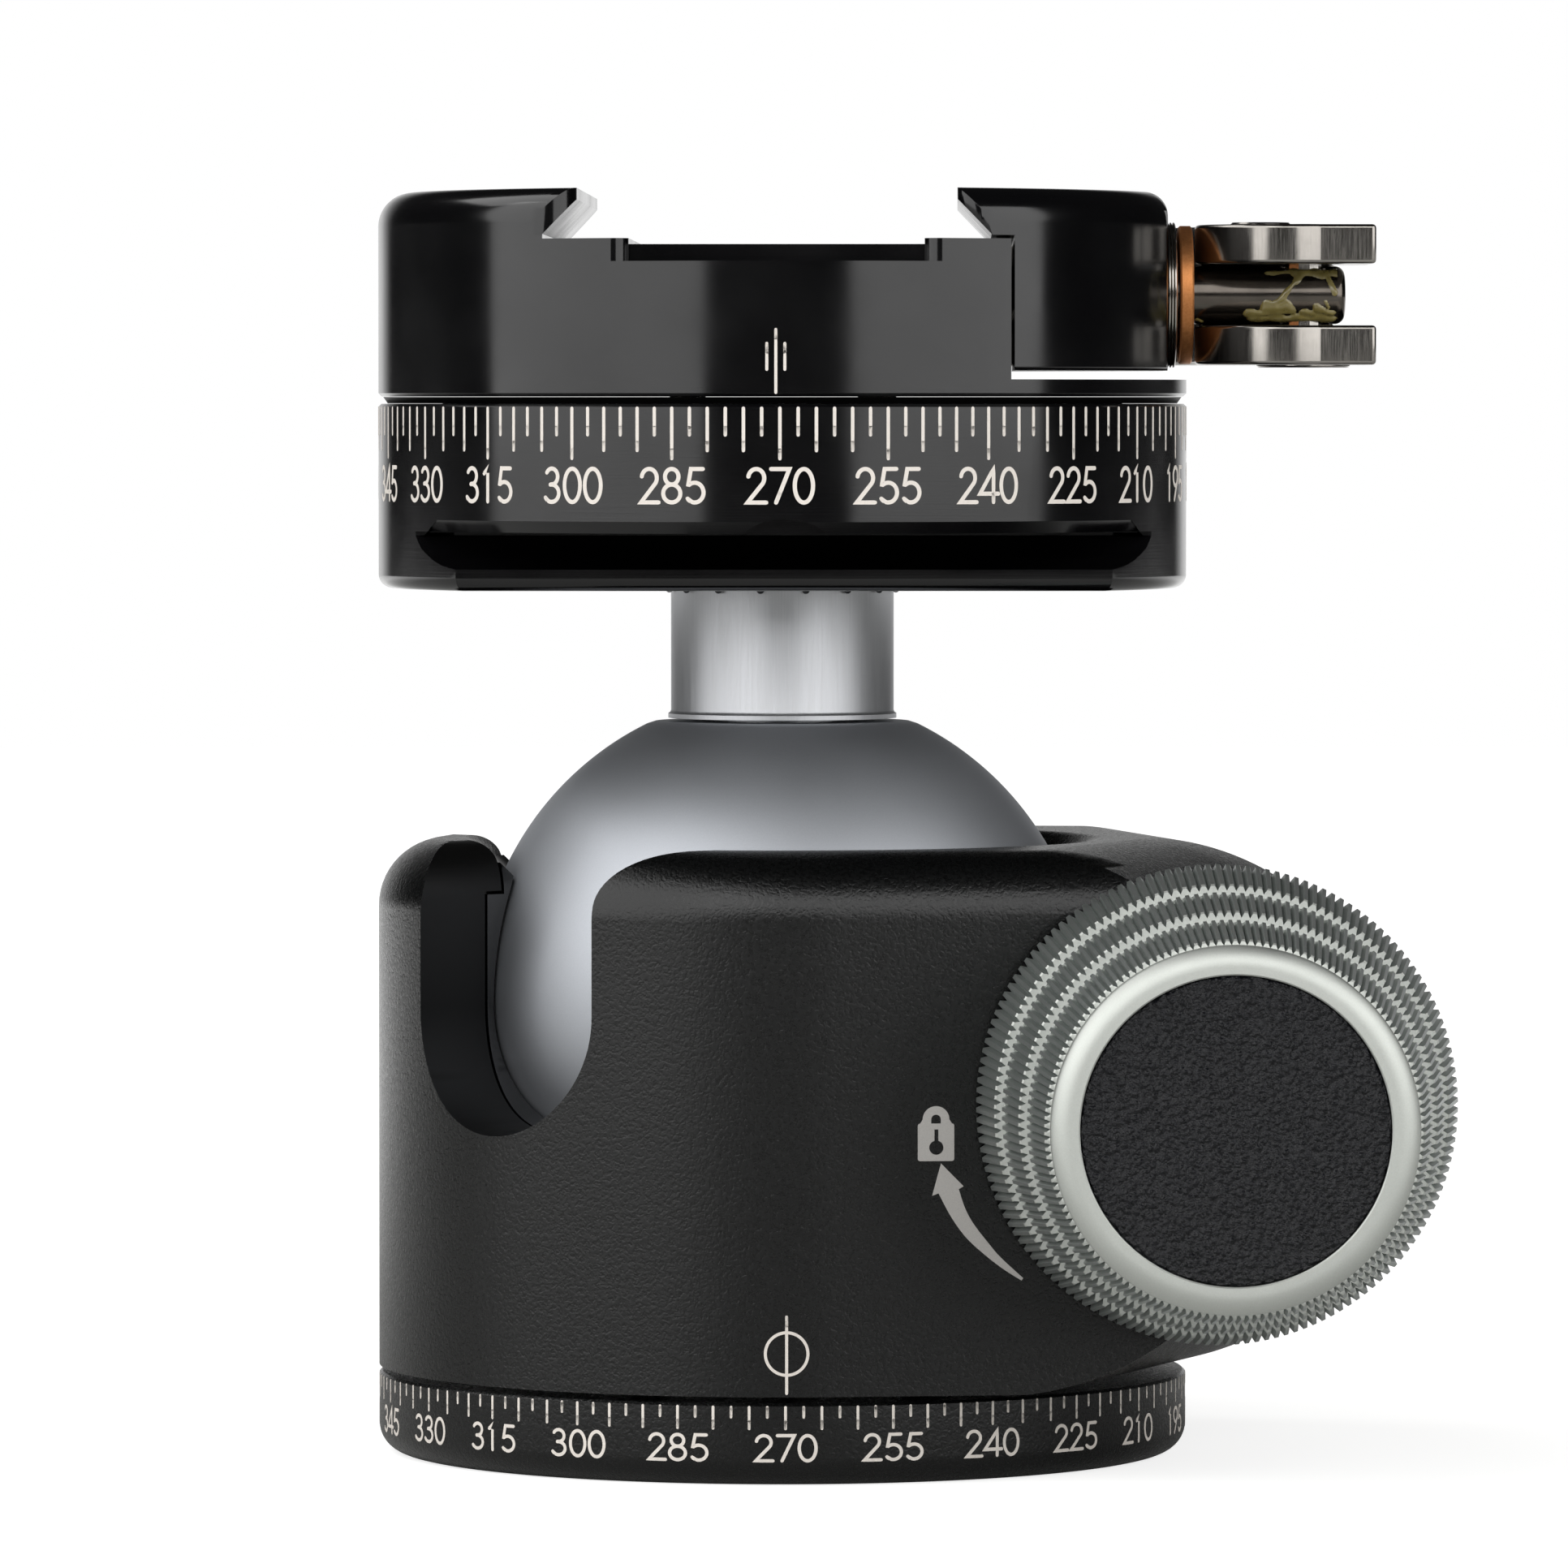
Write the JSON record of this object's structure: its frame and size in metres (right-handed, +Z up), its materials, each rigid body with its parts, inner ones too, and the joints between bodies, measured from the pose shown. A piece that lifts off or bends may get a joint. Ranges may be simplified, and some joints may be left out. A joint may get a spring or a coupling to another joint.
{
  "type": "tripod ball head",
  "caption": "Tripod ball head: panning base, notched housing with a cross-clamped ball, side locking knob, and a panning dovetail clamp with a release lever.",
  "frame": {"origin": "centre of the base plate's underside, where the tripod's stud enters", "axes": "+Z up along the ball, base and clamp axis; -Y towards the locking knob and the camera that took the picture; +X towards the lever"},
  "size_m": [0.0946, 0.1197, 0.1128],
  "materials": {
    "black_powder_coat": "fine grained black powder coat",
    "black_anodised_aluminium": "black anodised, satin",
    "grey_anodised_aluminium": "hard anodised, satin grey",
    "turned_aluminium": "turned, satin",
    "silver_anodised_aluminium": "bead blasted and anodised",
    "turned_steel": "turned",
    "sintered_bronze": "sintered bronze",
    "black_acetal": "moulded acetal",
    "white_acetal": "moulded acetal",
    "grained_black_skin": "grained black skin"
  },
  "bodies": {
    "base": {"base_plate": "black_powder_coat", "thread_insert": "turned_steel", "base_screw_0": "turned_steel", "base_screw_1": "turned_steel", "base_screw_2": "turned_steel", "pan_drum": "turned_aluminium", "pan_washer_lower": "white_acetal", "pan_washer_upper": "white_acetal", "pan_nut": "turned_steel"},
    "housing": {"housing": "black_powder_coat", "floor_ring": "turned_aluminium", "wave_spring": "turned_steel", "support_ring": "black_acetal", "ball_collar": "black_anodised_aluminium", "chamber_plug": "black_anodised_aluminium", "front_cotter": "turned_steel", "cotter_spring": "turned_steel", "thrust_washer": "sintered_bronze", "pan_lock_shoe": "sintered_bronze", "friction_pad": "sintered_bronze"},
    "rear_cotter": {"rear_cotter": "turned_steel"},
    "knob": {"main_knob": "silver_anodised_aluminium", "main_bolt": "turned_steel", "knob_screw": "turned_steel", "knob_cap": "grained_black_skin"},
    "friction_knob": {"friction_knob": "black_anodised_aluminium", "friction_screw": "turned_steel"},
    "pan_lock": {"pan_lock_knob": "black_anodised_aluminium", "pan_lock_screw": "turned_steel"},
    "ball": {"ball": "grey_anodised_aluminium", "stem": "turned_aluminium", "stem_bolt": "turned_steel", "tooth_washer": "black_anodised_aluminium", "dial_base": "black_anodised_aluminium", "dial_cover_ring": "turned_aluminium", "cover_screw_0": "turned_steel", "cover_screw_1": "turned_steel", "cover_screw_2": "turned_steel", "dial_glide_ring": "white_acetal", "clamp_lock_shoe": "sintered_bronze"},
    "clamp_lock": {"clamp_lock_knob": "black_anodised_aluminium", "clamp_lock_screw": "turned_steel"},
    "clamp": {"clamp_body": "black_anodised_aluminium", "clamp_spindle": "turned_steel", "clamp_screw_0": "turned_steel", "clamp_screw_1": "turned_steel", "clamp_screw_2": "turned_steel", "clamp_screw_3": "turned_steel", "draw_rod": "turned_steel", "lever_pin": "turned_steel", "jaw_guide_pin_0": "turned_steel", "jaw_guide_pin_1": "turned_steel", "jaw_spring_0": "turned_steel", "jaw_spring_1": "turned_steel"},
    "jaw": {"moving_jaw": "black_anodised_aluminium", "steel_washer": "turned_steel", "bronze_washer": "sintered_bronze"},
    "lever": {"release_lever": "turned_steel"}
  },
  "joints": [
    {"name": "base_pan", "type": "hinge", "parent": "base", "child": "housing", "pos_m": [0, 0, 0.00725], "axis": [0, 0, 1], "continuous": true},
    {"name": "main_knob_turn", "type": "hinge", "parent": "housing", "child": "knob", "pos_m": [0.0375, 0, 0.03315], "axis": [0, -1, 0], "range_deg": [0, 270]},
    {"name": "rear_cotter_slide", "type": "slide", "parent": "housing", "child": "rear_cotter", "axis": [0, 1, 0], "range_m": [0, 0.00094]},
    {"name": "friction_knob_turn", "type": "hinge", "parent": "housing", "child": "friction_knob", "pos_m": [0, 0.0375, 0.038], "axis": [0, 1, 0], "range_deg": [0, 270]},
    {"name": "pan_lock_turn", "type": "hinge", "parent": "housing", "child": "pan_lock", "pos_m": [0, 0.0375, 0.0145], "axis": [0, 1, 0], "range_deg": [0, 270]},
    {"name": "ball_tilt", "type": "hinge", "parent": "housing", "child": "ball", "pos_m": [0, 0, 0.0406], "axis": [0.7071, -0.7071, 0], "range_deg": [-30, 90]},
    {"name": "clamp_lock_turn", "type": "hinge", "parent": "ball", "child": "clamp_lock", "pos_m": [0, 0.0375, 0.0874], "axis": [0, 1, 0], "range_deg": [0, 270]},
    {"name": "clamp_pan", "type": "hinge", "parent": "ball", "child": "clamp", "pos_m": [0, 0, 0.0946], "axis": [0, 0, 1], "continuous": true},
    {"name": "lever_turn", "type": "hinge", "parent": "clamp", "child": "lever", "pos_m": [0.04675, 0, 0.1037], "axis": [0, 0, -1], "range_deg": [0, 90]},
    {"name": "jaw_slide", "type": "slide", "parent": "clamp", "child": "jaw", "axis": [1, 0, 0], "range_m": [0, 0.0014]}
  ],
  "couplings": [
    {"joint": "jaw_slide", "follows": "lever_turn", "m_per_rad": 0.00089127},
    {"joint": "rear_cotter_slide", "follows": "main_knob_turn", "m_per_rad": 0.00019894}
  ]
}
